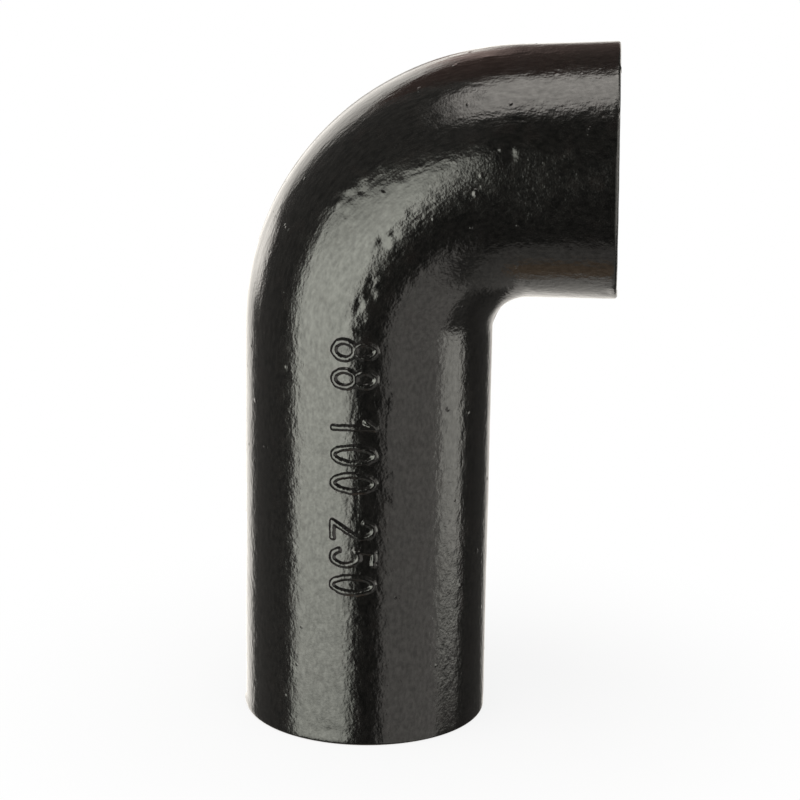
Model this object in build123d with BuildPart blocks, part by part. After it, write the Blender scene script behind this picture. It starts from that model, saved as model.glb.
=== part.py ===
from build123d import *
import os
from math import radians, tan

# Plain-ended soil pipe bend with a long tail, one iron casting.
# The origin is the centre of the tail's open end, +Z runs up the tail,
# and the short spigot leaves the bend towards +X.

# Section of the pipe, in millimetres
outside_diameter = 111.0
wall = 4.2

# Run of the pipe. Each reach is measured from an open end to the point
# where the axes of the tail and the spigot cross. The angle is in degrees.
bend_angle = 88.0
throat_radius = 16.0
tail_reach = 250.0
spigot_reach = 110.0

# Edges of the two open rims: rounded outside, with the burr broken inside
outer_rim_radius = 1.2
inner_rim_chamfer = 0.6

# Sizes that follow from those above
outside_radius = outside_diameter / 2
bore_diameter = outside_diameter - 2 * wall
centreline_radius = throat_radius + outside_radius
tangent_length = centreline_radius * tan(radians(bend_angle / 2))
tail_length = tail_reach - tangent_length
spigot_length = spigot_reach - tangent_length

# The bend turns about a level axis beside the top of the tail
bend_centre = Vector(centreline_radius, 0, tail_length)
bend_axis = Axis(bend_centre, (0, 1, 0))


def across_bend(angle):
    """Return the plane across the bend at an angle from where the tail ends."""
    outwards = Vector(-1, 0, 0).rotate(Axis.Y, angle)
    along = Vector(0, 0, 1).rotate(Axis.Y, angle)
    return Plane(bend_centre + outwards * centreline_radius, x_dir=-outwards, z_dir=along)


def round_run(diameter, mode):
    """Add or cut a round bar of one diameter along the tail, the bend and the spigot."""
    with BuildSketch(Plane.XY) as tail_section:
        Circle(diameter / 2)
    extrude(tail_section.sketch, amount=tail_length, mode=mode)
    with BuildSketch(across_bend(0)) as bend_section:
        Circle(diameter / 2)
    revolve(bend_section.sketch, axis=bend_axis, revolution_arc=bend_angle, mode=mode)
    with BuildSketch(across_bend(bend_angle)) as spigot_section:
        Circle(diameter / 2)
    extrude(spigot_section.sketch, amount=spigot_length, mode=mode)


def rim_edges(part, end):
    """Return the inner and the outer edge of the ring face in an end plane."""
    ring = part.faces().filter_by(GeomType.PLANE).sort_by_distance(end.origin)[0]
    return ring.edges().sort_by(SortBy.RADIUS)


# The casting: a solid run hollowed by its waterway
tail_end = Plane.XY
spigot_end = across_bend(bend_angle).offset(spigot_length)

with BuildPart() as pipe_bend:
    round_run(outside_diameter, Mode.ADD)
    round_run(bore_diameter, Mode.SUBTRACT)
    for end in (tail_end, spigot_end):
        inner_edge = rim_edges(pipe_bend, end)[0]
        chamfer(inner_edge, length=inner_rim_chamfer)
        outer_edge = rim_edges(pipe_bend, end)[-1]
        fillet(outer_edge, radius=outer_rim_radius)

pipe_bend.part.label = "pipe_bend"

os.makedirs("parts", exist_ok=True)
export_step(pipe_bend.part, "parts/pipe_bend.step")
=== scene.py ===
"""Looks of the soil pipe bend: the painted casting, its size figures and a plain studio round it."""

import logging
import math
from dataclasses import dataclass
from enum import Enum
from typing import Any

import bpy
import numpy as np
from mathutils import Matrix, Vector


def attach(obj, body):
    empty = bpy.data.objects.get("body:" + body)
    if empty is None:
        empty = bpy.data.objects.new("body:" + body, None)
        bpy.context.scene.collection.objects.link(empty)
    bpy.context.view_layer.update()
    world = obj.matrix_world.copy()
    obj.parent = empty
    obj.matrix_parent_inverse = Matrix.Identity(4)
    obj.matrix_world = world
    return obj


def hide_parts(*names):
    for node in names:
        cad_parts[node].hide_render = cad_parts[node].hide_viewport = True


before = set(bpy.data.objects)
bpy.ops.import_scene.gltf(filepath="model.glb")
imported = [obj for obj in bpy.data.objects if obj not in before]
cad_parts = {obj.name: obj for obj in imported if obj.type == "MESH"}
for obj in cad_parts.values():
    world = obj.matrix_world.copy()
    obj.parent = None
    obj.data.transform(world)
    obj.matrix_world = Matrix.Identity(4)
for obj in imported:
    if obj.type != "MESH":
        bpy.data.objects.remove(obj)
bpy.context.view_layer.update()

MM = 0.001
BODY = "root"
log = logging.getLogger("soil_pipe_bend")

Socket = bpy.types.NodeSocket
Values = dict[Any, Any]


class Zone(Enum):
    """Where on the pipe's wall a ring of the mesh lies."""

    SKIN = 0
    RIM = 1
    BORE = 2


def linear(colour: str) -> tuple[float, float, float, float]:
    """Turn an sRGB hex colour to linear.

    Args:
        colour: the colour, such as "#0d0d0c".

    Returns:
        Red, green, blue and an alpha of 1.
    """
    levels = [int(colour[i:i + 2], 16) / 255 for i in (1, 3, 5)]
    red, green, blue = (v / 12.92 if v <= 0.04045 else ((v + 0.055) / 1.055) ** 2.4 for v in levels)
    return red, green, blue, 1.0


def add_node(tree: bpy.types.NodeTree, kind: str, inputs: Values | None = None, **settings: Any) -> bpy.types.Node:
    """Add a node with its settings, and set or link its inputs.

    Args:
        tree: the tree that gets the node.
        kind: the node's type name.
        inputs: value or output socket for each input, by name or number.
        settings: the node's own properties.

    Returns:
        The new node.
    """
    node = tree.nodes.new(kind)
    for name, value in settings.items():
        setattr(node, name, value)
    for key, value in (inputs or {}).items():
        if isinstance(value, bpy.types.NodeSocket):
            tree.links.new(value, node.inputs[key])
        else:
            node.inputs[key].default_value = value
    return node


def smooth_step(value: np.ndarray, low: float, high: float) -> np.ndarray:
    """Rise smoothly from 0 at low to 1 at high."""
    share = np.clip((value - low) / (high - low), 0, 1)
    return share * share * (3 - 2 * share)


def make_mesh(name: str, places: Any, faces: Any, edges: Any = ()) -> bpy.types.Mesh:
    """Make a smooth mesh from its points and faces.

    Args:
        name: the mesh's name.
        places: the points, in metres.
        faces: the corners of each face.
        edges: loose edges, where there are any.

    Returns:
        The mesh.
    """
    mesh = bpy.data.meshes.new(name)
    mesh.from_pydata(np.asarray(places).tolist(), list(edges), np.asarray(faces).tolist())
    mesh.shade_smooth()
    return mesh


def set_numbers(mesh: bpy.types.Mesh, name: str, numbers: np.ndarray) -> None:
    """Store one number or one vector for each point of a mesh."""
    kind, field = ("FLOAT", "value") if numbers.ndim == 1 else ("FLOAT_VECTOR", "vector")
    mesh.attributes.new(name, kind, "POINT").data.foreach_set(field, numbers.astype(np.float32).ravel())


def add_object(name: str, data: Any) -> bpy.types.Object:
    """Put an object into the scene, at the origin."""
    made = bpy.data.objects.new(name, data)
    bpy.context.scene.collection.objects.link(made)
    return made


def run_tree(name: str, mesh: bpy.types.Mesh, tree: bpy.types.NodeTree, values: Values) -> bpy.types.Object:
    """Run a Geometry Nodes tree over a mesh and keep the result as a plain piece.

    Args:
        name: the finished piece's name.
        mesh: the mesh that the tree starts from.
        tree: the tree.
        values: value of each named input.

    Returns:
        The finished piece, with no modifier on it.
    """
    source = add_object(name + "_source", mesh)
    modifier = source.modifiers.new(name, "NODES")
    modifier.node_group = tree
    for item in tree.interface.items_tree:
        if item.in_out == "INPUT" and item.name in values:
            modifier[item.identifier] = values[item.name]
    depsgraph = bpy.context.evaluated_depsgraph_get()
    made = bpy.data.meshes.new_from_object(source.evaluated_get(depsgraph), depsgraph=depsgraph)
    bpy.data.objects.remove(source)
    made.name = name
    made.shade_smooth()
    return add_object(name, made)


def fit_piece(piece: bpy.types.Object, *nodes: str) -> None:
    """Let a piece ride on the casting's body, for the CAD nodes that it replaces."""
    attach(piece, BODY)
    if nodes:
        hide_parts(*nodes)
    log.info("%s: %d faces", piece.name, len(piece.data.polygons))


@dataclass(frozen=True)
class BlackPaint:
    """Gloss black paint over an as-cast iron skin, sprayed thick enough to round the grain of the mould sand."""

    name: str = "gloss_black_paint_on_cast_iron"
    colour: str = "#0a0a09"
    dusty_colour: str = "#171614"
    thin_colour: str = "#14110f"
    # The bore's black is set paler than the outside paint. This is painted fill light, so that the dark bore shows its
    # form.
    bore_colour_with_painted_fill: str = "#1a1917"
    smoothest: float = 0.10
    roughest: float = 0.17
    bore_roughness: float = 0.42
    ior: float = 1.5
    sand_grain: float = 2.4 * MM
    fine_grain: float = 1.0 * MM
    flow_length: float = 9.0 * MM
    dust_length: float = 1.7 * MM
    draw: float = 0.62
    sand_height: float = 0.135 * MM
    fine_height: float = 0.06 * MM
    lean_gloss: float = 0.40
    full_gloss: float = 0.62

    def make(self) -> bpy.types.Material:
        """Build the paint's material.

        Returns:
            The material, patterned on Object coordinates.
        """
        material = bpy.data.materials.new(self.name)
        material.use_nodes = True
        tree = material.node_tree
        tree.nodes.clear()
        place = add_node(tree, "ShaderNodeTexCoord").outputs["Object"]
        straight = add_node(tree, "ShaderNodeAttribute", attribute_name="straightened").outputs["Vector"]
        drawn = add_node(tree, "ShaderNodeMapping", {"Vector": straight, "Scale": (1, 1, self.draw)}).outputs[0]
        inside = add_node(tree, "ShaderNodeAttribute", attribute_name="inside").outputs["Fac"]
        sand = add_node(tree, "ShaderNodeTexNoise", {
            "Vector": drawn, "Scale": 1 / self.sand_grain, "Detail": 1.0, "Roughness": 0.45}).outputs["Fac"]
        fine = add_node(tree, "ShaderNodeTexNoise", {
            "Vector": place, "Scale": 1 / self.fine_grain, "Detail": 1.0, "Roughness": 0.5}).outputs["Fac"]
        flow = add_node(tree, "ShaderNodeTexNoise", {
            "Vector": place, "Scale": 1 / self.flow_length, "Detail": 2.0, "Roughness": 0.5}).outputs["Fac"]
        dust = add_node(tree, "ShaderNodeTexNoise", {
            "Vector": drawn, "Scale": 1 / self.dust_length, "Detail": 3.0, "Roughness": 0.6}).outputs["Fac"]
        grain = add_node(tree, "ShaderNodeBump", {
            "Height": fine, "Strength": 1.0, "Distance": self.fine_height}).outputs[0]
        relief = add_node(tree, "ShaderNodeBump", {
            "Height": sand, "Strength": 1.0, "Distance": self.sand_height, "Normal": grain}).outputs[0]
        gloss = add_node(tree, "ShaderNodeMapRange", {
            "Value": flow, "From Min": 0.35, "From Max": 0.65,
            "To Min": self.smoothest, "To Max": self.roughest}).outputs[0]
        roughness = add_node(tree, "ShaderNodeMix", {
            "Factor": inside, "A": gloss, "B": self.bore_roughness}, data_type="FLOAT").outputs[0]
        dustiness = add_node(tree, "ShaderNodeMapRange", {
            "Value": dust, "From Min": 0.35, "From Max": 0.65}).outputs[0]
        painted = add_node(tree, "ShaderNodeMix", {
            "Factor": dustiness, 6: linear(self.colour), 7: linear(self.dusty_colour)}, data_type="RGBA").outputs[2]
        thinness = add_node(tree, "ShaderNodeMapRange", {
            "Value": flow, "From Min": 0.55, "From Max": 0.75}).outputs[0]
        outside = add_node(tree, "ShaderNodeMix", {
            "Factor": thinness, 6: painted, 7: linear(self.thin_colour)}, data_type="RGBA").outputs[2]
        # In the bore the colour turns to the paler bore black, which is painted fill light rather than a real change of
        # paint.
        colour = add_node(tree, "ShaderNodeMix", {
            "Factor": inside, 6: outside, 7: linear(self.bore_colour_with_painted_fill)}, data_type="RGBA").outputs[2]
        film = add_node(tree, "ShaderNodeMapRange", {
            "Value": dust, "From Min": 0.3, "From Max": 0.7,
            "To Min": self.lean_gloss, "To Max": self.full_gloss}).outputs[0]
        shader = add_node(tree, "ShaderNodeBsdfPrincipled", {
            "Base Color": colour, "Roughness": roughness, "IOR": self.ior, "Specular IOR Level": film,
            "Normal": relief})
        add_node(tree, "ShaderNodeOutputMaterial", {"Surface": shader.outputs[0]})
        return material


@dataclass(frozen=True)
class PipeRun:
    """The run that the tail, the bend and the spigot follow. Its unrolled skin has X along the run from the tail's
    end, Y round the pipe from its front and Z off the skin, and the trees roll that up round the run."""

    outside_radius: float = 55.5 * MM
    wall: float = 4.2 * MM
    bend_angle: float = math.radians(88)
    throat_radius: float = 16 * MM
    tail_reach: float = 250 * MM
    spigot_reach: float = 110 * MM
    unevenness: float = 0.45 * MM
    unevenness_length: float = 40 * MM
    ripple: float = 0.12 * MM
    ripple_length: float = 5.5 * MM
    seam_height: float = 0.38 * MM
    seam_half_width: float = 1.9 * MM

    @property
    def bend_radius(self) -> float:
        """Radius of the bend's centreline."""
        return self.throat_radius + self.outside_radius

    @property
    def tail_length(self) -> float:
        """Straight length of the tail."""
        return self.tail_reach - self.bend_radius * math.tan(self.bend_angle / 2)

    @property
    def bend_end(self) -> float:
        """Where along the run the bend ends."""
        return self.tail_length + self.bend_radius * self.bend_angle

    @property
    def length(self) -> float:
        """Length of the whole run."""
        return self.bend_end + self.spigot_reach - self.bend_radius * math.tan(self.bend_angle / 2)

    @property
    def half_girth(self) -> float:
        """Half of the way round the pipe."""
        return math.pi * self.outside_radius

    def straighten(self, along: np.ndarray, around: np.ndarray) -> np.ndarray:
        """Return where points on the skin would be if the run were straight, which the grain of the skin follows."""
        angle = around / self.outside_radius
        radius = self.outside_radius
        return np.stack([radius * np.sin(angle), -radius * np.cos(angle), along], -1).reshape(-1, 3)

    def inputs(self) -> Values:
        """Return the named inputs that every tree on the run has."""
        return {
            "Outside Radius": self.outside_radius, "Bend Radius": self.bend_radius,
            "Bend Angle": self.bend_angle, "Tail Length": self.tail_length,
            "Unevenness": self.unevenness, "Unevenness Length": self.unevenness_length,
            "Ripple": self.ripple, "Ripple Length": self.ripple_length,
            "Seam Height": self.seam_height, "Seam Half Width": self.seam_half_width,
        }

    def start_tree(self, name: str, extra: Values | None = None) -> tuple[bpy.types.NodeTree, Any]:
        """Start a Geometry Nodes tree with the run's inputs.

        Args:
            name: the tree's name.
            extra: more inputs, with the type of each one's socket.

        Returns:
            The tree and the outputs of its Group Input node.
        """
        tree = bpy.data.node_groups.new(name, "GeometryNodeTree")
        tree.interface.new_socket("Geometry", in_out="INPUT", socket_type="NodeSocketGeometry")
        for label in self.inputs():
            tree.interface.new_socket(label, in_out="INPUT", socket_type="NodeSocketFloat")
        for label, kind in (extra or {}).items():
            tree.interface.new_socket(label, in_out="INPUT", socket_type=kind)
        tree.interface.new_socket("Geometry", in_out="OUTPUT", socket_type="NodeSocketGeometry")
        return tree, add_node(tree, "NodeGroupInput").outputs

    def roll_up(self, tree: bpy.types.NodeTree, size: Any, geometry: Socket) -> Socket:
        """Add the nodes that roll the unrolled skin up round the run, with the casting's relief.

        Args:
            tree: the tree that gets the nodes.
            size: the outputs of the tree's Group Input node.
            geometry: the unrolled geometry.

        Returns:
            The rolled geometry.
        """
        flat = add_node(tree, "GeometryNodeInputPosition").outputs[0]
        along, around, above = add_node(tree, "ShaderNodeSeparateXYZ", {0: flat}).outputs[:3]
        arc = add_node(tree, "ShaderNodeMath", {
            0: size["Bend Radius"], 1: size["Bend Angle"]}, operation="MULTIPLY").outputs[0]
        bend_end = add_node(tree, "ShaderNodeMath", {0: size["Tail Length"], 1: arc}, operation="ADD").outputs[0]
        turn = add_node(tree, "ShaderNodeMapRange", {
            "Value": along, "From Min": size["Tail Length"], "From Max": bend_end,
            "To Min": 0.0, "To Max": size["Bend Angle"]}).outputs[0]
        bent = add_node(tree, "ShaderNodeMath", {0: turn, 1: size["Bend Radius"]}, operation="MULTIPLY").outputs[0]
        straight = add_node(tree, "ShaderNodeMath", {0: along, 1: bent}, operation="SUBTRACT").outputs[0]
        angle = add_node(tree, "ShaderNodeMath", {
            0: around, 1: size["Outside Radius"]}, operation="DIVIDE").outputs[0]
        outwards = add_node(tree, "ShaderNodeVectorRotate", {
            "Vector": (0, -1, 0), "Angle": angle}, rotation_type="Z_AXIS").outputs[0]
        standing = add_node(tree, "ShaderNodeVectorMath", {
            0: outwards, "Scale": size["Outside Radius"]}, operation="SCALE").outputs[0]
        rise = add_node(tree, "ShaderNodeCombineXYZ", {"Z": straight}).outputs[0]
        upright = add_node(tree, "ShaderNodeVectorMath", {0: standing, 1: rise}, operation="ADD").outputs[0]
        centre = add_node(tree, "ShaderNodeCombineXYZ", {
            "X": size["Bend Radius"], "Z": size["Tail Length"]}).outputs[0]
        place = add_node(tree, "ShaderNodeVectorRotate", {
            "Vector": upright, "Center": centre, "Angle": turn}, rotation_type="Y_AXIS").outputs[0]
        facing = add_node(tree, "ShaderNodeVectorRotate", {
            "Vector": outwards, "Angle": turn}, rotation_type="Y_AXIS").outputs[0]
        relief = self.relief(tree, size, place, around, turn)
        weight = add_node(tree, "GeometryNodeInputNamedAttribute", {
            "Name": "relief_share"}, data_type="FLOAT").outputs[0]
        height = add_node(tree, "ShaderNodeMath", {0: relief, 1: weight, 2: above}, operation="MULTIPLY_ADD").outputs[0]
        lift = add_node(tree, "ShaderNodeVectorMath", {0: facing, "Scale": height}, operation="SCALE").outputs[0]
        final = add_node(tree, "ShaderNodeVectorMath", {0: place, 1: lift}, operation="ADD").outputs[0]
        return add_node(tree, "GeometryNodeSetPosition", {"Geometry": geometry, "Position": final}).outputs[0]

    def relief(self, tree: bpy.types.NodeTree, size: Any, place: Socket, around: Socket, turn: Socket) -> Socket:
        """Add the nodes for the casting's own relief: uneven walls, rippled skin and the mould's low seam.

        Args:
            tree: the tree that gets the nodes.
            size: the outputs of the tree's Group Input node.
            place: where each point is on the true pipe.
            around: how far round the pipe each point is.
            turn: how far round the bend each point is.

        Returns:
            The height off the true pipe.
        """
        heights = []
        for label in ("Unevenness", "Ripple"):
            scale = add_node(tree, "ShaderNodeMath", {0: 1.0, 1: size[label + " Length"]}, operation="DIVIDE").outputs[0]
            noise = add_node(tree, "ShaderNodeTexNoise", {"Vector": place, "Scale": scale, "Detail": 1.5}).outputs["Fac"]
            centred = add_node(tree, "ShaderNodeMath", {0: noise, 1: 0.5}, operation="SUBTRACT").outputs[0]
            heights.append(add_node(tree, "ShaderNodeMath", {0: centred, 1: size[label]}, operation="MULTIPLY").outputs[0])
        side = add_node(tree, "ShaderNodeMath", {0: around}, operation="ABSOLUTE").outputs[0]
        quarter = add_node(tree, "ShaderNodeMath", {
            0: size["Outside Radius"], 1: math.pi / 2}, operation="MULTIPLY").outputs[0]
        distance = add_node(tree, "ShaderNodeMath", {0: side, 1: quarter}, operation="SUBTRACT").outputs[0]
        distance = add_node(tree, "ShaderNodeMath", {0: distance}, operation="ABSOLUTE").outputs[0]
        ridge = add_node(tree, "ShaderNodeMapRange", {
            "Value": distance, "From Min": 0.0, "From Max": size["Seam Half Width"],
            "To Min": size["Seam Height"], "To Max": 0.0}, interpolation_type="SMOOTHSTEP").outputs[0]
        for near, far in ((3, 22), (85, 66)):
            fade = add_node(tree, "ShaderNodeMapRange", {
                "Value": turn, "From Min": math.radians(near), "From Max": math.radians(far)},
                interpolation_type="SMOOTHSTEP").outputs[0]
            ridge = add_node(tree, "ShaderNodeMath", {0: ridge, 1: fade}, operation="MULTIPLY").outputs[0]
        total = add_node(tree, "ShaderNodeMath", {0: heights[0], 1: heights[1]}, operation="ADD").outputs[0]
        return add_node(tree, "ShaderNodeMath", {0: total, 1: ridge}, operation="ADD").outputs[0]

    def end_tree(self, tree: bpy.types.NodeTree, geometry: Socket, material: bpy.types.Material) -> None:
        """End a tree with Realize Instances and Set Material."""
        real = add_node(tree, "GeometryNodeRealizeInstances", {0: geometry}).outputs[0]
        painted = add_node(tree, "GeometryNodeSetMaterial", {"Geometry": real, "Material": material}).outputs[0]
        add_node(tree, "NodeGroupOutput", {0: painted})


@dataclass(frozen=True)
class Blemish:
    """A lump or a pit in the casting, at a place on the unrolled skin."""

    along: float
    around: float
    half_length: float
    half_width: float
    height: float


@dataclass(frozen=True)
class Casting:
    """The casting: one closed wall with rounded rims, swelling a little at the spigot's end."""

    run: PipeRun
    paint: bpy.types.Material
    columns: int = 280
    straight_step: float = 1.45 * MM
    bend_step: float = 0.95 * MM
    bore_step: float = 7.5 * MM
    bore_bend_step: float = 3.4 * MM
    rim_radius: float = 1.2 * MM
    bore_chamfer: float = 0.6 * MM
    rim_steps: int = 5
    spigot_swell: float = 0.8 * MM
    swell_length: float = 41 * MM
    seam_crowding: float = 1.3
    end_reach: float = 0.6 * MM
    end_lean: float = 1.6 * MM
    end_turn: float = 0.8 * MM
    rim_roughness: float = 0.05 * MM
    rim_seed: int = 11
    burrs: tuple[tuple[float, float], ...] = ((-59.1 * MM, 0.50 * MM), (-34.2 * MM, 0.40 * MM), (70.0 * MM, 0.30 * MM))
    burr_half_width: float = 1.2 * MM
    blemishes: tuple[Blemish, ...] = (
        Blemish(229.0 * MM, -6.4 * MM, 2.6 * MM, 2.4 * MM, -0.42 * MM),
        Blemish(234.3 * MM, -4.9 * MM, 2.0 * MM, 1.7 * MM, -0.30 * MM),
        Blemish(207.8 * MM, 0.9 * MM, 3.4 * MM, 3.0 * MM, -0.42 * MM),
        Blemish(201.0 * MM, -2.2 * MM, 4.2 * MM, 2.0 * MM, -0.38 * MM),
        Blemish(190.2 * MM, -3.0 * MM, 2.2 * MM, 2.4 * MM, 0.24 * MM),
        Blemish(287.0 * MM, -15.8 * MM, 1.8 * MM, 3.4 * MM, -0.42 * MM),
        Blemish(329.0 * MM, 52.3 * MM, 1.8 * MM, 2.4 * MM, 0.34 * MM),
        Blemish(327.6 * MM, 59.8 * MM, 2.0 * MM, 2.6 * MM, -0.30 * MM),
        Blemish(2.4 * MM, -78.0 * MM, 1.6 * MM, 9.0 * MM, 0.50 * MM),
        Blemish(227.9 * MM, -33.4 * MM, 1.6 * MM, 1.6 * MM, 0.30 * MM),
        Blemish(227.5 * MM, -26.6 * MM, 1.2 * MM, 1.6 * MM, -0.32 * MM),
        Blemish(239.6 * MM, -32.2 * MM, 1.5 * MM, 1.6 * MM, 0.28 * MM),
        Blemish(233.5 * MM, -33.6 * MM, 1.6 * MM, 1.8 * MM, 0.24 * MM),
        Blemish(232.0 * MM, -30.4 * MM, 1.4 * MM, 1.6 * MM, -0.26 * MM),
        Blemish(236.2 * MM, -27.6 * MM, 1.4 * MM, 1.6 * MM, -0.26 * MM),
        Blemish(247.5 * MM, -20.2 * MM, 1.5 * MM, 1.6 * MM, 0.22 * MM),
        Blemish(246.0 * MM, -31.0 * MM, 1.4 * MM, 1.6 * MM, 0.24 * MM),
        Blemish(6.1 * MM, -11.0 * MM, 1.4 * MM, 2.6 * MM, -0.36 * MM),
        Blemish(281.7 * MM, -70.8 * MM, 2.4 * MM, 2.4 * MM, 0.25 * MM),
        Blemish(280.7 * MM, -44.4 * MM, 2.4 * MM, 2.4 * MM, 0.25 * MM),
        Blemish(196.5 * MM, 4.0 * MM, 2.6 * MM, 2.0 * MM, 0.20 * MM),
        Blemish(203.6 * MM, 5.2 * MM, 2.4 * MM, 2.0 * MM, -0.18 * MM),
        Blemish(213.5 * MM, -1.0 * MM, 2.2 * MM, 2.2 * MM, -0.20 * MM),
        Blemish(243.0 * MM, -9.0 * MM, 2.4 * MM, 3.0 * MM, 0.18 * MM),
        Blemish(236.0 * MM, -12.5 * MM, 2.0 * MM, 2.0 * MM, -0.18 * MM),
        Blemish(69.0 * MM, 17.5 * MM, 4.0 * MM, 1.9 * MM, -0.18 * MM),
        Blemish(158.5 * MM, 17.0 * MM, 4.0 * MM, 3.0 * MM, 0.26 * MM),
        Blemish(126.5 * MM, 17.6 * MM, 3.5 * MM, 2.6 * MM, 0.22 * MM),
        Blemish(115.5 * MM, 17.3 * MM, 5.0 * MM, 3.0 * MM, 0.28 * MM),
        Blemish(82.5 * MM, 18.4 * MM, 2.2 * MM, 2.4 * MM, 0.30 * MM),
    )

    def stations(self, straight: float, bent: float, inset: float) -> np.ndarray:
        """Return the places along the run where rings of the wall go.

        Args:
            straight: step on the tail and the spigot.
            bent: step in the bend.
            inset: how far from both ends the first and last rings are.

        Returns:
            Distances from the tail's end, rising.
        """
        run = self.run
        marks = ((inset, run.tail_length, straight), (run.tail_length, run.bend_end, bent),
                 (run.bend_end, run.length - inset, straight))
        stretches = [np.linspace(a, b, max(2, round((b - a) / step) + 1))[:-1] for a, b, step in marks]
        return np.concatenate([*stretches, [run.length - inset]])

    def rings(self) -> tuple[np.ndarray, np.ndarray, np.ndarray]:
        """Go once round the wall's section: up the skin, over the spigot's rim, down the bore and round the tail's rim.

        Returns:
            For each ring its place along the run, its height off the true pipe and its zone's number.
        """
        run, rim, chamfer = self.run, self.rim_radius, self.bore_chamfer
        skin = self.stations(self.straight_step, self.bend_step, rim)
        bore = self.stations(self.bore_step, self.bore_bend_step, chamfer)[::-1]
        turns = np.linspace(0, math.pi / 2, self.rim_steps + 1)[1:]
        inward, outward = rim * np.sin(turns), rim * (np.cos(turns) - 1)
        low = run.wall - chamfer
        ledge = np.array([rim + 0.25 * MM, (rim + low) / 2, low - 0.15 * MM, low])
        ledge_in = np.full(len(ledge), run.length)
        along = [skin, run.length - rim + inward, ledge_in, bore, 0 * ledge, rim - inward[::-1]]
        above = [0 * skin, outward, -ledge, np.full(len(bore), -run.wall), -ledge[::-1], outward[::-1]]
        zones = [Zone.SKIN, Zone.RIM, Zone.RIM, Zone.BORE, Zone.RIM, Zone.RIM]
        zone = np.concatenate([np.full(len(a), z.value) for a, z in zip(along, zones)])
        return np.concatenate(along), np.concatenate(above), zone

    def columns_round(self) -> np.ndarray:
        """Return the places round the pipe, closer together over the two seams."""
        half = self.run.half_girth
        fine = np.linspace(-half, half, 6001)
        off_seam = np.abs(np.abs(fine) - half / 2)
        crowd = 1 + self.seam_crowding * np.exp(-(off_seam / (2.2 * MM)) ** 2)
        share = np.concatenate([[0], np.cumsum((crowd[1:] + crowd[:-1]) / 2)])
        return np.interp(np.arange(self.columns) / self.columns, share / share[-1], fine)

    def sawn_end(self, x: np.ndarray, y: np.ndarray) -> np.ndarray:
        """Return how far each point shifts along the run, because the spigot's end is sawn a little askew.

        Args:
            x: the points' places along the run.
            y: the points' places round the pipe.

        Returns:
            The shift along the run, with the saw's roughness and burrs on the rim.
        """
        angle = y / self.run.outside_radius
        askew = self.end_reach - self.end_lean * (1 + np.sin(angle)) / 2 - self.end_turn * (1 + np.cos(angle)) / 2
        share = np.clip((x - self.run.bend_end) / (self.run.length - self.run.bend_end), 0, 1)
        steps = np.random.default_rng(self.rim_seed).uniform(-1, 1, self.columns)
        rough = self.rim_roughness * sum(np.roll(steps, i) for i in range(7)) / 3
        for place, height in self.burrs:
            rough = rough + height * np.exp(-((y[0] - place) / self.burr_half_width) ** 2)
        at_rim = smooth_step(x, self.run.length - 3 * MM, self.run.length - 0.2 * MM)
        return share * askew + at_rim * rough

    def unrolled(self) -> bpy.types.Mesh:
        """Return the unrolled wall, with its swell and blemishes and the numbers that the trees and paint read."""
        along, above, zone = self.rings()
        around = self.columns_round()
        rows, columns = len(along), len(around)
        x, y = np.meshgrid(along, around, indexing="ij")
        z = np.repeat(above[:, None], columns, 1)
        skin = np.repeat((zone != Zone.BORE.value)[:, None], columns, 1)
        start = self.run.length - self.swell_length
        z = z + np.where(skin, 1, 0.9) * self.spigot_swell * np.clip((x - start) / self.swell_length, 0, 1)
        on_skin = np.repeat((zone == Zone.SKIN.value)[:, None], columns, 1)
        for mark in self.blemishes:
            spread = ((x - mark.along) / mark.half_length) ** 2 + ((y - mark.around) / mark.half_width) ** 2
            z = z + on_skin * mark.height * np.exp(-1.6 * spread)
        corner = np.arange(rows * columns).reshape(rows, columns)
        right, up = np.roll(corner, -1, 1), np.roll(corner, -1, 0)
        faces = np.stack([corner, right, np.roll(up, -1, 1), up], -1).reshape(-1, 4)
        shifted = x + self.sawn_end(x, y)
        mesh = make_mesh("unrolled_wall", np.stack([shifted, y, z], -1).reshape(-1, 3), faces)
        edge = np.minimum(x, self.run.length - x)
        share = smooth_step(edge, 1.2 * MM, 6 * MM) * np.where(skin, 1, 0.7)
        set_numbers(mesh, "relief_share", share.ravel())
        set_numbers(mesh, "inside", np.repeat((zone == Zone.BORE.value).astype(float), columns))
        set_numbers(mesh, "straightened", self.run.straighten(x, y))
        return mesh

    def make(self) -> bpy.types.Object:
        """Roll the wall up round the run.

        Returns:
            The finished casting.
        """
        tree, size = self.run.start_tree("pipe_wall_on_run")
        rolled = self.run.roll_up(tree, size, size["Geometry"])
        self.run.end_tree(tree, rolled, self.paint)
        return run_tree("pipe_bend_casting", self.unrolled(), tree, self.run.inputs())


def arc(centre: tuple[float, float], radii: tuple[float, float], turn: tuple[float, float], steps: int = 14) -> list:
    """Return points on part of an ellipse, from one angle in degrees to another."""
    angles = np.radians(np.linspace(*turn, steps))
    return [(centre[0] + radii[0] * math.cos(a), centre[1] + radii[1] * math.sin(a)) for a in angles]


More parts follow.
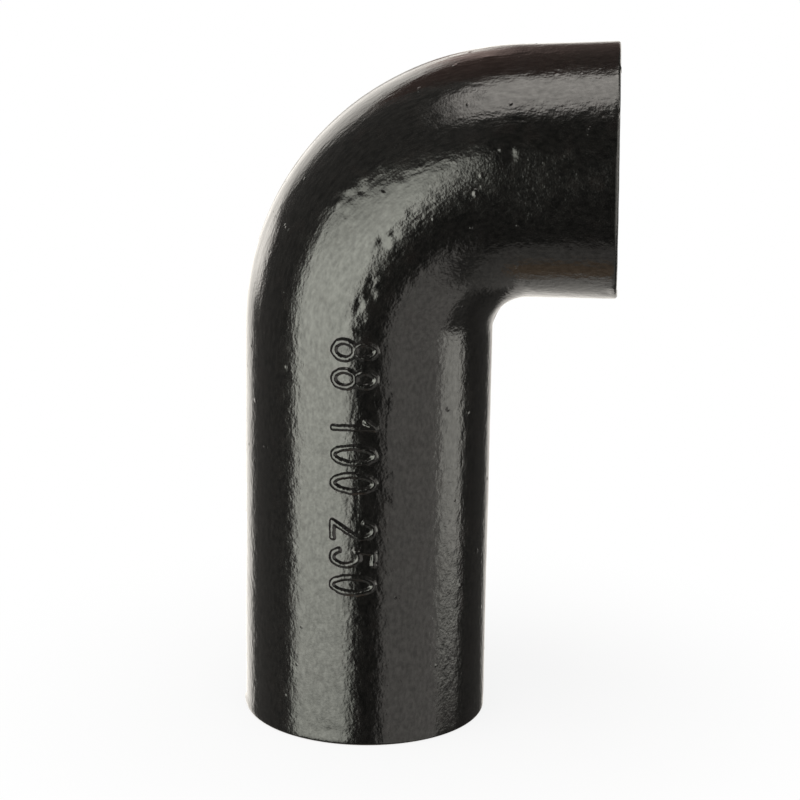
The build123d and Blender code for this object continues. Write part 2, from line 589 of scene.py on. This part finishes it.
@dataclass(frozen=True)
class SizeFigures:
    """Raised plain figures down the front of the tail: the bend's angle, its nominal bore and its reach."""

    run: PipeRun
    paint: bpy.types.Material
    groups: tuple[str, ...] = ("88", "100", "250")
    top: float = 188 * MM
    foot: float = 69.5 * MM
    baseline: float = -9.8 * MM
    height: float = 18.4 * MM
    advance: float = 12.6 * MM
    figure_width: float = 7.3 * MM
    half_stroke: float = 1.8 * MM
    relief: float = 0.86 * MM
    crown: float = 0.5 * MM
    wear: float = 1.1 * MM
    wear_length: float = 3.2 * MM
    sink: float = 0.14 * MM
    depth: float = 0.8 * MM
    step: float = 0.36 * MM

    def strokes(self, figure: str) -> list[list[tuple[float, float]]]:
        """Return a figure's strokes in a cell one wide and one high."""
        shapes = {
            "0": [arc((0.5, 0.5), (0.5, 0.5), (0, 360), 36)],
            "1": [[(0.15, 0.78), (0.55, 1.0), (0.55, 0.0)]],
            "2": [arc((0.5, 0.72), (0.47, 0.28), (168, -28), 16) + [(0.0, 0.0), (1.0, 0.0)]],
            "5": [[(0.92, 1.0), (0.14, 1.0), (0.08, 0.56)] + arc((0.48, 0.32), (0.5, 0.32), (128, -150), 20)],
            "8": [arc((0.5, 0.75), (0.43, 0.25), (0, 360), 26), arc((0.5, 0.26), (0.5, 0.26), (0, 360), 26)],
        }
        return shapes[figure]

    def lines(self) -> bpy.types.Object:
        """Lay the strokes of all figures out on the unrolled skin, read down the tail.

        Returns:
            An object of loose edges.
        """
        count = sum(len(g) for g in self.groups)
        gap = (self.top - self.foot - count * self.advance) / (len(self.groups) - 1)
        places, edges, reach = [], [], 0.0
        for group in self.groups:
            for figure in group:
                for stroke in self.strokes(figure):
                    first = len(places)
                    for u, v in stroke:
                        across = reach + (self.advance - self.figure_width) / 2 + u * self.figure_width
                        places.append((self.top - across, self.baseline + v * self.height, 0.0))
                    edges += [(i, i + 1) for i in range(first, len(places) - 1)]
                reach += self.advance
            reach += gap
        return add_object("figure_strokes", make_mesh("figure_strokes", places, [], edges))

    def ground(self) -> bpy.types.Mesh:
        """Return the flat grid that the figures rise from."""
        margin = 3 * MM
        x = np.arange(self.foot - margin, self.top + margin, self.step)
        y = np.arange(self.baseline - margin, self.baseline + self.height + margin, self.step)
        corner = np.arange(len(x) * len(y)).reshape(len(x), len(y))
        faces = np.stack([corner[:-1, :-1], corner[:-1, 1:], corner[1:, 1:], corner[1:, :-1]], -1).reshape(-1, 4)
        grid = np.stack([*np.meshgrid(x, y, indexing="ij"), np.zeros(corner.shape)], -1)
        mesh = make_mesh("figure_ground", grid.reshape(-1, 3), faces)
        set_numbers(mesh, "relief_share", np.ones(corner.size))
        set_numbers(mesh, "inside", np.zeros(corner.size))
        set_numbers(mesh, "straightened", self.run.straighten(grid[..., 0], grid[..., 1]))
        return mesh

    def make(self) -> bpy.types.Object:
        """Raise the figures from the grid by their distance from the strokes, and roll them onto the tail.

        Returns:
            The finished figures, closed underneath.
        """
        extra = {"Strokes": "NodeSocketObject", "Half Stroke": "NodeSocketFloat", "Crown": "NodeSocketFloat",
                 "Figure Relief": "NodeSocketFloat", "Sink": "NodeSocketFloat", "Depth": "NodeSocketFloat"}
        tree, size = self.run.start_tree("figures_on_run", extra)
        lines = add_node(tree, "GeometryNodeObjectInfo", {"Object": size["Strokes"]}).outputs["Geometry"]
        distance = add_node(tree, "GeometryNodeProximity", {0: lines}, target_element="EDGES").outputs["Distance"]
        reach = add_node(tree, "ShaderNodeMath", {0: size["Half Stroke"], 1: 0.9 * MM}, operation="ADD").outputs[0]
        far = add_node(tree, "FunctionNodeCompare", {0: distance, 1: reach}, operation="GREATER_THAN").outputs[0]
        kept = add_node(tree, "GeometryNodeDeleteGeometry", {
            "Geometry": size["Geometry"], "Selection": far}, domain="POINT").outputs[0]
        depth = add_node(tree, "ShaderNodeCombineXYZ", {"Z": size["Depth"]}).outputs[0]
        under = add_node(tree, "ShaderNodeVectorMath", {0: depth, "Scale": -1.0}, operation="SCALE").outputs[0]
        bottom = add_node(tree, "GeometryNodeSetPosition", {"Geometry": kept, "Offset": under}).outputs[0]
        turned = add_node(tree, "GeometryNodeFlipFaces", {0: bottom}).outputs[0]
        walls = add_node(tree, "GeometryNodeExtrudeMesh", {
            "Mesh": bottom, "Offset": depth, "Offset Scale": 1.0, "Individual": False}, mode="FACES")
        wobble = add_node(tree, "ShaderNodeTexNoise", {"Scale": 1 / self.wear_length, "Detail": 1.0}).outputs["Fac"]
        worn = add_node(tree, "ShaderNodeMath", {
            0: wobble, 1: self.wear, 2: distance}, operation="MULTIPLY_ADD").outputs[0]
        worn = add_node(tree, "ShaderNodeMath", {0: worn, 1: self.wear / 2}, operation="SUBTRACT").outputs[0]
        raised = add_node(tree, "ShaderNodeMapRange", {
            "Value": worn, "From Min": size["Crown"], "From Max": size["Half Stroke"],
            "To Min": size["Figure Relief"], "To Max": size["Sink"]}).outputs[0]
        raised = add_node(tree, "ShaderNodeCombineXYZ", {"Z": raised}).outputs[0]
        topped = add_node(tree, "GeometryNodeSetPosition", {
            "Geometry": walls.outputs["Mesh"], "Selection": walls.outputs["Top"], "Offset": raised}).outputs[0]
        joined = add_node(tree, "GeometryNodeJoinGeometry").inputs[0]
        tree.links.new(turned, joined)
        tree.links.new(topped, joined)
        shell = add_node(tree, "GeometryNodeMergeByDistance", {
            "Geometry": joined.node.outputs[0], "Distance": 0.01 * MM}).outputs[0]
        self.run.end_tree(tree, self.run.roll_up(tree, size, shell), self.paint)
        lines_object = self.lines()
        values = {**self.run.inputs(), "Strokes": lines_object, "Half Stroke": self.half_stroke,
                  "Crown": self.crown, "Figure Relief": self.relief, "Sink": -self.sink, "Depth": self.depth}
        made = run_tree("size_figures", self.ground(), tree, values)
        bpy.data.objects.remove(lines_object)
        return made


@dataclass(frozen=True)
class CastPimples:
    """Small pimples where the mould's sand had pin holes, scattered over the painted skin."""

    run: PipeRun
    paint: bpy.types.Material
    count_per_square_metre: float = 900.0
    spacing: float = 8 * MM
    smallest: float = 0.7
    largest: float = 1.5
    radius: float = 1.6 * MM
    height: float = 0.17 * MM
    sink: float = 0.03 * MM
    seed: int = 7

    def bump(self) -> bpy.types.Object:
        """Make one pimple: a low rounded bump that runs out into the skin, closed underneath."""
        sides, rings = 14, 5
        places = [(0, 0, self.height - self.sink)]
        for ring in range(1, rings + 1):
            share = ring / rings
            level = self.height * math.exp(-4.5 * share ** 2) - self.sink
            places += [(self.radius * share * math.cos(a), self.radius * share * math.sin(a), level)
                       for a in np.linspace(0, 2 * math.pi, sides, endpoint=False)]
        places.append((0, 0, -3 * self.sink))
        last = len(places) - 1
        faces = []
        for i in range(sides):
            after = (i + 1) % sides
            faces.append((0, 1 + i, 1 + after))
            for ring in range(rings - 1):
                a, b = 1 + ring * sides, 1 + (ring + 1) * sides
                faces.append((a + i, b + i, b + after, a + after))
            faces.append((1 + (rings - 1) * sides + after, 1 + (rings - 1) * sides + i, last))
        mesh = bpy.data.meshes.new("pimple")
        mesh.from_pydata(places, [], faces)
        mesh.shade_smooth()
        return add_object("pimple", mesh)

    def make(self, casting: bpy.types.Object) -> bpy.types.Object:
        """Scatter the pimples over the casting's skin.

        Args:
            casting: the finished casting.

        Returns:
            The finished pimples, as one mesh.
        """
        extra = {"Pimple": "NodeSocketObject", "Spacing": "NodeSocketFloat", "Density": "NodeSocketFloat",
                 "Smallest": "NodeSocketFloat", "Largest": "NodeSocketFloat", "Seed": "NodeSocketInt"}
        tree, size = self.run.start_tree("pimples_on_skin", extra)
        share = add_node(tree, "GeometryNodeInputNamedAttribute", {
            "Name": "relief_share"}, data_type="FLOAT").outputs[0]
        on_skin = add_node(tree, "FunctionNodeCompare", {0: share, 1: 0.9}, operation="GREATER_THAN").outputs[0]
        scattered = add_node(tree, "GeometryNodeDistributePointsOnFaces", {
            "Mesh": size["Geometry"], "Selection": on_skin, "Distance Min": size["Spacing"],
            "Density Max": size["Density"], "Seed": size["Seed"]}, distribute_method="POISSON")
        scale = add_node(tree, "FunctionNodeRandomValue", {
            2: size["Smallest"], 3: size["Largest"], "Seed": size["Seed"]}, data_type="FLOAT").outputs[1]
        pimple = add_node(tree, "GeometryNodeObjectInfo", {"Object": size["Pimple"]}).outputs["Geometry"]
        placed = add_node(tree, "GeometryNodeInstanceOnPoints", {
            "Points": scattered.outputs["Points"], "Instance": pimple,
            "Rotation": scattered.outputs["Rotation"], "Scale": scale}).outputs[0]
        self.run.end_tree(tree, placed, self.paint)
        pimple_object = self.bump()
        values = {"Pimple": pimple_object, "Spacing": self.spacing, "Density": self.count_per_square_metre,
                  "Smallest": self.smallest, "Largest": self.largest, "Seed": self.seed}
        made = run_tree("cast_pimples", casting.data.copy(), tree, values)
        bpy.data.objects.remove(pimple_object)
        return made


@dataclass(frozen=True)
class Panel:
    """A lit or dark cloth of the light tent: where it hangs, in degrees seen from the object, how bright it is, and
    how much it falls off towards its top and bottom."""

    azimuth: tuple[float, float]
    height: tuple[float, float]
    radiance: float
    side_edge: float = 8.0
    level_edge: float = 8.0
    fall_off: float = 0.0
    slant: float = 0.0
    colour: str = "#fffaf2"

    def cover(self, azimuth: np.ndarray, height: np.ndarray) -> np.ndarray:
        """Return how far the panel covers each direction, from 0 to 1.

        Args:
            azimuth: directions' azimuths in degrees.
            height: directions' heights in degrees.

        Returns:
            The cover of each direction.
        """
        off = (azimuth - sum(self.azimuth) / 2 + 180) % 360 - 180
        half = (self.azimuth[1] - self.azimuth[0]) / 2
        low, high = self.height[0] + self.slant * off, self.height[1]
        side, level = self.side_edge / 2, self.level_edge / 2
        inside = (1 - smooth_step(np.abs(off) - half, -side, side)) if half < 180 else 1.0
        return inside * smooth_step(height - low, -level, level) * (1 - smooth_step(height, high - level, high + level))

    def glow(self, height: np.ndarray) -> np.ndarray:
        """Return the panel's red, green and blue radiance at each height."""
        middle, half = sum(self.height) / 2, (self.height[1] - self.height[0]) / 2
        share = 1 - self.fall_off * np.clip((height - middle) / half, -1, 1) ** 2
        return (self.radiance * share)[..., None] * np.array(linear(self.colour)[:3])


@dataclass(frozen=True)
class Ceiling:
    """The tent's lit top cloth, stretched level. Its edges are given as shares of its height above the object, to
    the spigot's side and to the back, and its front and back edges run askew."""

    side: tuple[float, float] = (-0.37, 1.0)
    back: tuple[float, float] = (-0.49, 0.20)
    side_edge: float = 0.14
    back_edge: float = 0.08
    front_skew: float = 1.0
    front_corner: float = -0.10
    back_skew: float = 0.4
    furthest_back: float = 0.27
    radiance: float = 4.3
    colour: str = "#fffaf2"

    def cover(self, azimuth: np.ndarray, height: np.ndarray) -> np.ndarray:
        """Return how far the cloth covers each azimuth and height, in degrees, from 0 to 1."""
        a, h = np.radians(azimuth), np.radians(height)
        reach = np.cos(h) / np.maximum(np.sin(h), 1e-3)
        side, back = np.sin(a) * reach, -np.cos(a) * reach
        front = self.back[0] + self.front_skew * np.clip(side - self.front_corner, 0, 0.3)
        rear = np.minimum(self.back[1] + self.back_skew * side, self.furthest_back)
        cover = smooth_step(side - self.side[0], -self.side_edge, self.side_edge)
        cover = cover * (1 - smooth_step(side - self.side[1], -self.side_edge, self.side_edge))
        cover = cover * smooth_step(back - front, -self.back_edge, self.back_edge)
        return (height > 0) * cover * (1 - smooth_step(back - rear, -self.back_edge, self.back_edge))

    def glow(self) -> np.ndarray:
        """Return the cloth's red, green and blue radiance."""
        return self.radiance * np.array(linear(self.colour)[:3])


@dataclass(frozen=True)
class LightTent:
    """Soft cloths hung all round the object. Only gloss shows them: they light nothing else.
    Azimuth runs from the front towards the side that the spigot points to."""

    centre: tuple[float, float, float] = (0.02, 0.0, 0.14)
    radius: float = 1.6
    panels: tuple[Panel, ...] = (
        Panel((-180, 180), (-100, 100), 1.0),
        Panel((178, 240), (-48, 39), 1.95, 10),
        Panel((-131, 155), (-60, 100), 0.21, 10),
        Panel((-141, -119), (-4, 9), 3.6, 7, 6),
        Panel((150, 228), (37, 100), 0.22, 8, 8, colour="#ffd2c4"),
        Panel((178, 197), (22, 100), 0.80, 8, 10, colour="#ffe0d6"),
        Panel((160, 228), (41, 100), 0.21, 8, 8, colour="#ffd2c4"),
        Panel((140, 184), (13, 100), 0.16, 8, 14, colour="#ffdcd0"),
        Panel((104, 164), (-62, -24), 0.08, 8, 8),
        Panel((-180, 164), (-100, -59), 0.46, 10, 6),
        Panel((-180, 180), (-100, -79), 0.54, 8, 4, colour="#ffdcb8"),
        Panel((-12, 22), (-55, 60), 0.08, 6),
        Panel((-65, -11), (-34, 29), 6.6, 10, 6, 0.55, colour="#f9fbee"),
        Panel((19, 80), (-47, 24), 1.15, 8, 10, 0.0, -0.33),
        Panel((76, 102), (-22.5, 30), 3.0, 6, 9, colour="#fdfbf1"),
        Panel((104, 155), (-60, 60), 0.10, 8),
    )
    ceiling: Ceiling = Ceiling()

    def radiance(self, azimuth: np.ndarray, height: np.ndarray) -> np.ndarray:
        """Return the tent's red, green and blue radiance towards each azimuth and height, in degrees."""
        level = np.zeros((*azimuth.shape, 3))
        for panel in self.panels:
            level += panel.cover(azimuth, height)[..., None] * (panel.glow(height) - level)
        return level + self.ceiling.cover(azimuth, height)[..., None] * (self.ceiling.glow() - level)

    def make(self) -> bpy.types.Object:
        """Build the tent.

        Returns:
            The tent, as one closed surface.
        """
        azimuths, heights = np.arange(-180, 180, 2.0), np.linspace(-89, 89, 90)
        azimuth, height = np.meshgrid(azimuths, heights, indexing="ij")
        a, h = np.radians(azimuth), np.radians(height)
        way = np.stack([np.sin(a) * np.cos(h), -np.cos(a) * np.cos(h), np.sin(h)], -1)
        places = (np.array(self.centre) + self.radius * way).reshape(-1, 3)
        corner = np.arange(azimuth.size).reshape(azimuth.shape)
        after = np.roll(corner, -1, 0)
        faces = np.stack([corner[:, :-1], corner[:, 1:], after[:, 1:], after[:, :-1]], -1).reshape(-1, 4).tolist()
        faces += [corner[:, 0].tolist(), corner[::-1, -1].tolist()]
        mesh = bpy.data.meshes.new("light_tent")
        mesh.from_pydata(places.tolist(), [], faces)
        glow = np.dstack([self.radiance(azimuth, height), np.ones(azimuth.shape)])
        mesh.attributes.new("glow", "FLOAT_COLOR", "POINT").data.foreach_set("color", glow.astype(np.float32).ravel())
        material = bpy.data.materials.new("lit_tent_cloth")
        material.use_nodes = True
        tree = material.node_tree
        tree.nodes.clear()
        shown = add_node(tree, "ShaderNodeAttribute", attribute_name="glow").outputs["Color"]
        shine = add_node(tree, "ShaderNodeEmission", {"Color": shown, "Strength": 1.0}).outputs[0]
        add_node(tree, "ShaderNodeOutputMaterial", {"Surface": shine})
        mesh.materials.append(material)
        tent = add_object("light_tent", mesh)
        tent.visible_camera = tent.visible_diffuse = tent.visible_shadow = False
        tent.visible_transmission = tent.visible_volume_scatter = False
        return tent


@dataclass(frozen=True)
class Studio:
    """A pale floor under a plain white room, with one soft lamp overhead."""

    floor_colour: str = "#f6f6f5"
    floor_half_width: float = 9.0
    floor_level: float = -0.1 * MM
    shadow_share: float = 0.15
    shadow_reach: tuple[float, float] = (0.07, 0.26)
    lamp_energy: float = 16.0
    lamp_size: float = 1.4
    lamp_place: tuple[float, float, float] = (-0.3, -0.5, 1.9)
    room_light: float = 0.55

    def floor(self) -> bpy.types.Object:
        """Make the floor, which fades to white away from the object.

        Returns:
            The floor.
        """
        w, z = self.floor_half_width, self.floor_level
        mesh = bpy.data.meshes.new("floor")
        mesh.from_pydata([(-w, -w, z), (w, -w, z), (w, w, z), (-w, w, z)], [], [(0, 1, 2, 3)])
        material = bpy.data.materials.new("pale_floor")
        material.use_nodes = True
        tree = material.node_tree
        tree.nodes.clear()
        place = add_node(tree, "ShaderNodeTexCoord").outputs["Object"]
        away = add_node(tree, "ShaderNodeVectorMath", {0: place, 1: (0.02, 0.0, 0.0)}, operation="DISTANCE")
        fade = add_node(tree, "ShaderNodeMapRange", {
            "Value": away.outputs["Value"], "From Min": self.shadow_reach[0], "From Max": self.shadow_reach[1],
            "To Min": 1 - self.shadow_share, "To Max": 1.0}, interpolation_type="SMOOTHSTEP").outputs[0]
        rays = add_node(tree, "ShaderNodeLightPath").outputs
        seen = add_node(tree, "ShaderNodeMath", {
            0: rays["Is Camera Ray"], 1: rays["Is Glossy Ray"]}, operation="MAXIMUM").outputs[0]
        seen = add_node(tree, "ShaderNodeMath", {0: seen, 1: rays["Is Transmission Ray"]}, operation="MAXIMUM").outputs[0]
        share = add_node(tree, "ShaderNodeMath", {0: seen, 1: fade}, operation="MULTIPLY").outputs[0]
        matt = add_node(tree, "ShaderNodeBsdfDiffuse", {"Color": linear(self.floor_colour)}).outputs[0]
        white = add_node(tree, "ShaderNodeEmission", {"Color": linear("#ffffff"), "Strength": 1.0}).outputs[0]
        mixed = add_node(tree, "ShaderNodeMixShader", {0: share, 1: matt, 2: white}).outputs[0]
        add_node(tree, "ShaderNodeOutputMaterial", {"Surface": mixed})
        mesh.materials.append(material)
        floor = add_object("floor", mesh)
        floor.visible_glossy = False
        return floor

    def room(self) -> None:
        """Set the world: white where it is seen, and a plain level where it lights the object."""
        world = bpy.data.worlds.new("white_room")
        world.use_nodes = True
        tree = world.node_tree
        tree.nodes.clear()
        rays = add_node(tree, "ShaderNodeLightPath").outputs
        seen = add_node(tree, "ShaderNodeMath", {
            0: rays["Is Camera Ray"], 1: rays["Is Glossy Ray"]}, operation="MAXIMUM").outputs[0]
        seen = add_node(tree, "ShaderNodeMath", {0: seen, 1: rays["Is Transmission Ray"]}, operation="MAXIMUM").outputs[0]
        plain = add_node(tree, "ShaderNodeBackground", {"Color": linear("#ffffff"), "Strength": self.room_light})
        white = add_node(tree, "ShaderNodeBackground", {"Color": linear("#ffffff"), "Strength": 1.0})
        mixed = add_node(tree, "ShaderNodeMixShader", {0: seen, 1: plain.outputs[0], 2: white.outputs[0]})
        add_node(tree, "ShaderNodeOutputWorld", {"Surface": mixed.outputs[0]})
        bpy.context.scene.world = world

    def lamp(self) -> None:
        """Hang the soft lamp. Gloss doesn't show it, because the tent's ceiling stands for it there."""
        data = bpy.data.lights.new("soft_lamp", "AREA")
        data.shape, data.size, data.energy = "DISK", self.lamp_size, self.lamp_energy
        lamp = add_object("soft_lamp", data)
        lamp.location = self.lamp_place
        lamp.rotation_euler = (Vector((0.03, 0, 0.12)) - lamp.location).to_track_quat("-Z", "Y").to_euler()
        lamp.visible_glossy = False

    def make(self) -> None:
        """Set up the floor, room, lamp and tent."""
        self.floor()
        LightTent().make()
        self.room()
        self.lamp()
        view = bpy.context.scene.view_settings
        view.view_transform = "Standard"


@dataclass(frozen=True)
class PhotoCamera:
    """The camera at the photograph's viewing angle. Azimuth is from the front towards the spigot's side."""

    azimuth: float = math.radians(4.73)
    height: float = math.radians(14.76)
    roll: float = math.radians(0.88)
    distance: float = 1.102
    lens: float = 109.35
    sensor: float = 36.0
    target: tuple[float, float, float] = (0.01444, 0.0, 0.14601)

    def make(self) -> bpy.types.Object:
        """Place the camera and make it the scene's.

        Returns:
            The camera.
        """
        level = math.cos(self.height)
        back = Vector((math.sin(self.azimuth) * level, -math.cos(self.azimuth) * level, math.sin(self.height)))
        right = (-back).cross(Vector((0, 0, 1))).normalized()
        up = right.cross(-back)
        turned_right = right * math.cos(self.roll) + up * math.sin(self.roll)
        turned_up = up * math.cos(self.roll) - right * math.sin(self.roll)
        data = bpy.data.cameras.new("photo_camera")
        data.lens, data.sensor_width = self.lens, self.sensor
        data.clip_start, data.clip_end = 0.05, 50
        camera = add_object("photo_camera", data)
        place = Vector(self.target) + back * self.distance
        camera.matrix_world = Matrix.Translation(place) @ Matrix((turned_right, turned_up, back)).transposed().to_4x4()
        bpy.context.scene.camera = camera
        return camera


def main() -> None:
    """Build the painted bend, its figures and the studio."""
    logging.basicConfig(level=logging.INFO, format="%(name)s: %(message)s")
    PhotoCamera().make()
    paint = BlackPaint().make()
    run = PipeRun()
    casting = Casting(run, paint).make()
    figures = SizeFigures(run, paint).make()
    pimples = CastPimples(run, paint).make(casting)
    fit_piece(casting, "pipe_bend")
    fit_piece(figures)
    fit_piece(pimples)
    Studio().make()


if __name__ == "__main__":
    main()
